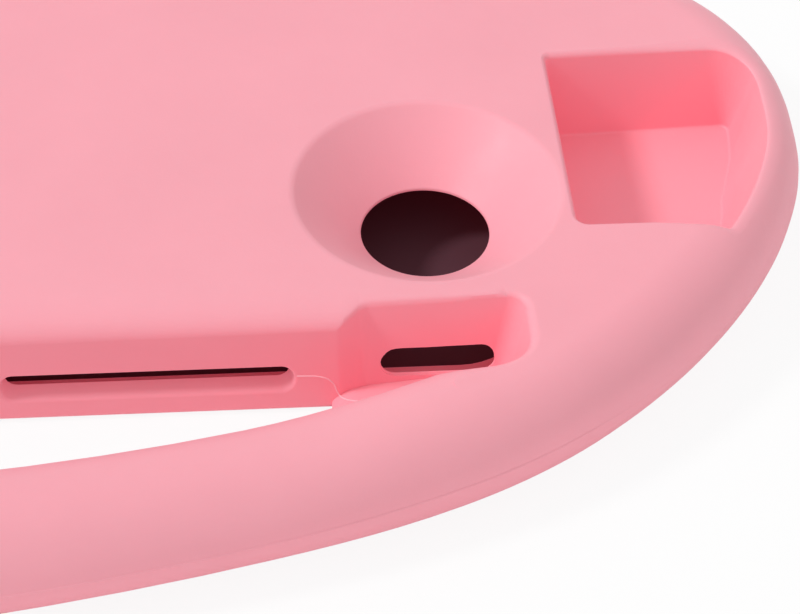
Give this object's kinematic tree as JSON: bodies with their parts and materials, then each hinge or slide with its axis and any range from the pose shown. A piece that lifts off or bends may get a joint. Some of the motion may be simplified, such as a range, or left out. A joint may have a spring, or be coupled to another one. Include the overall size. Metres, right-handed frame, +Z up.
{
  "type": "protective tablet case",
  "caption": "Moulded foam case for a tablet: flat back with a conical lens dish, arched carry handle running into corner ears with open pockets, and a side slot.",
  "frame": {"origin": "under the middle of the whole piece's bounding box, on the surface that it lies on", "axes": "+Z up out of the back face, +X along the long side towards the lens dish, +Y away from the carry handle; the open front faces down"},
  "size_m": [0.3218, 0.231, 0.0167],
  "materials": {
    "pink_foam": "smooth satin closed-cell foam, pale pink"
  },
  "bodies": {
    "root": {"case_shell": "pink_foam"}
  },
  "joints": []
}
